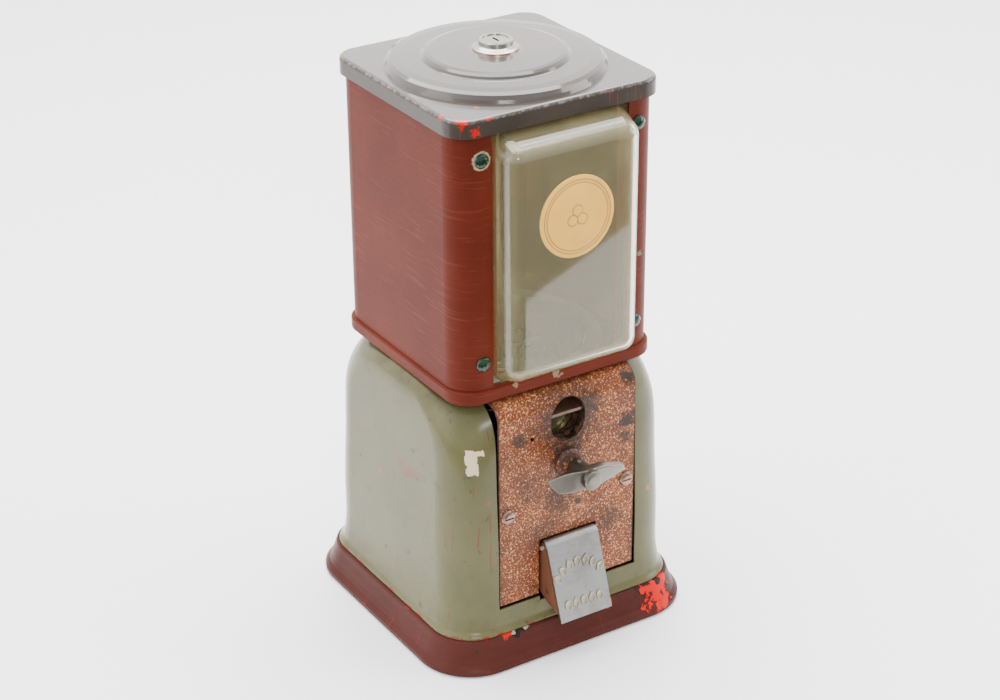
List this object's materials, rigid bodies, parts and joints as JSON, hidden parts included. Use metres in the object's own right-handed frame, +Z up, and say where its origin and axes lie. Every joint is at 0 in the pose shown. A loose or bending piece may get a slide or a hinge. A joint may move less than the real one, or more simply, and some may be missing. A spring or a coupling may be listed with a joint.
{
  "type": "gumball machine",
  "caption": "Countertop coin-operated gum ball machine: square hopper with a bulged window, lockable lid, turn handle, coin wheel, dispensing wheel and chute door.",
  "frame": {"origin": "where the centre rod's axis meets the surface the machine stands on, at the mouth of the stand bolt's threaded hole", "axes": "+Z up, front with the handle and the door faces -Y, +X to the right seen from the front"},
  "size_m": [0.1992, 0.2136, 0.396],
  "materials": {
    "foot_paint": "worn gloss maroon paint with red chips",
    "body_paint": "gloss olive green enamel, scratched",
    "hopper_paint": "satin red-brown paint with fine cracks",
    "lid_paint": "dark grey gloss paint, chipped edges",
    "speckled_copper": "copper hammer finish with bright specks",
    "dark_steel": "dark tarnished sheet steel",
    "zinc_steel": "zinc plated steel",
    "bright_steel": "bare steel",
    "cast_zinc": "dull cast zinc alloy",
    "cast_frame": "rough die casting",
    "worn_screw": "copper-painted screws with worn heads",
    "wheel_casting": "machined die casting",
    "rusty_steel": "rusted sheet steel",
    "door_steel": "worn bright steel",
    "aged_clear_plastic": "yellowed clear plastic with scratches",
    "green_rivet": "dark green gloss enamel",
    "gold_disc": "golden tan satin disc",
    "nickel": "worn nickel plate"
  },
  "bodies": {
    "housing": {"foot_skirt": "foot_paint", "base_plate": "dark_steel", "stand_nut": "zinc_steel", "rod_jam_nut": "zinc_steel", "center_rod": "zinc_steel", "body_shell": "body_paint", "mech_plate": "speckled_copper", "coin_cup": "dark_steel", "coin_gate": "dark_steel", "shaft_bushing": "speckled_copper", "mech_frame": "cast_frame", "plate_screws": "worn_screw", "pawl_pin": "bright_steel", "pawl_spring": "bright_steel", "rod_collar": "zinc_steel", "exit_plate": "bright_steel", "ball_funnel": "zinc_steel", "ball_deflector": "bright_steel", "delivery_chute": "rusty_steel", "door_hinge_pin": "zinc_steel", "hopper_shell": "hopper_paint", "window_bubble": "aged_clear_plastic", "window_rivets": "green_rivet", "display_disc": "gold_disc", "window_strip_left": "hopper_paint", "window_strip_right": "hopper_paint"},
    "drive": {"handle_shaft": "zinc_steel", "wing_handle": "cast_zinc", "handle_pin": "bright_steel", "coin_wheel": "bright_steel", "drive_pinion": "bright_steel"},
    "dispenser": {"dispensing_wheel": "wheel_casting", "agitator": "bright_steel"},
    "pawl": {"coin_pawl": "bright_steel"},
    "door": {"chute_door": "door_steel"},
    "lid": {"lid": "lid_paint", "lock_body": "nickel", "lock_nut": "bright_steel"},
    "lock_core": {"lock_plug": "nickel"}
  },
  "joints": [
    {"name": "handle_turn", "type": "hinge", "parent": "housing", "child": "drive", "pos_m": [0, -0.1, 0.133], "axis": [0, 1, 0], "continuous": true},
    {"name": "wheel_spin", "type": "hinge", "parent": "housing", "child": "dispenser", "pos_m": [0, 0, 0.15], "axis": [0, 0, 1], "continuous": true},
    {"name": "pawl_rock", "type": "hinge", "parent": "housing", "child": "pawl", "pos_m": [0.0371, -0.069, 0.1429], "axis": [0, 1, 0], "range_deg": [0, 12], "stiffness_Nm_per_rad": 0.02, "springref_deg": -14.32},
    {"name": "door_swing", "type": "hinge", "parent": "housing", "child": "door", "pos_m": [0, -0.0858, 0.0754], "axis": [-1, 0, 0], "range_deg": [0, 70]},
    {"name": "lid_lift", "type": "slide", "parent": "housing", "child": "lid", "axis": [0, 0, 1], "range_m": [0, 0.05]},
    {"name": "lock_turn", "type": "hinge", "parent": "lid", "child": "lock_core", "pos_m": [0, 0, 0.39], "axis": [0, 0, 1], "range_deg": [0, 90]}
  ],
  "couplings": [
    {"joint": "wheel_spin", "follows": "handle_turn", "ratio": 0.16667}
  ]
}
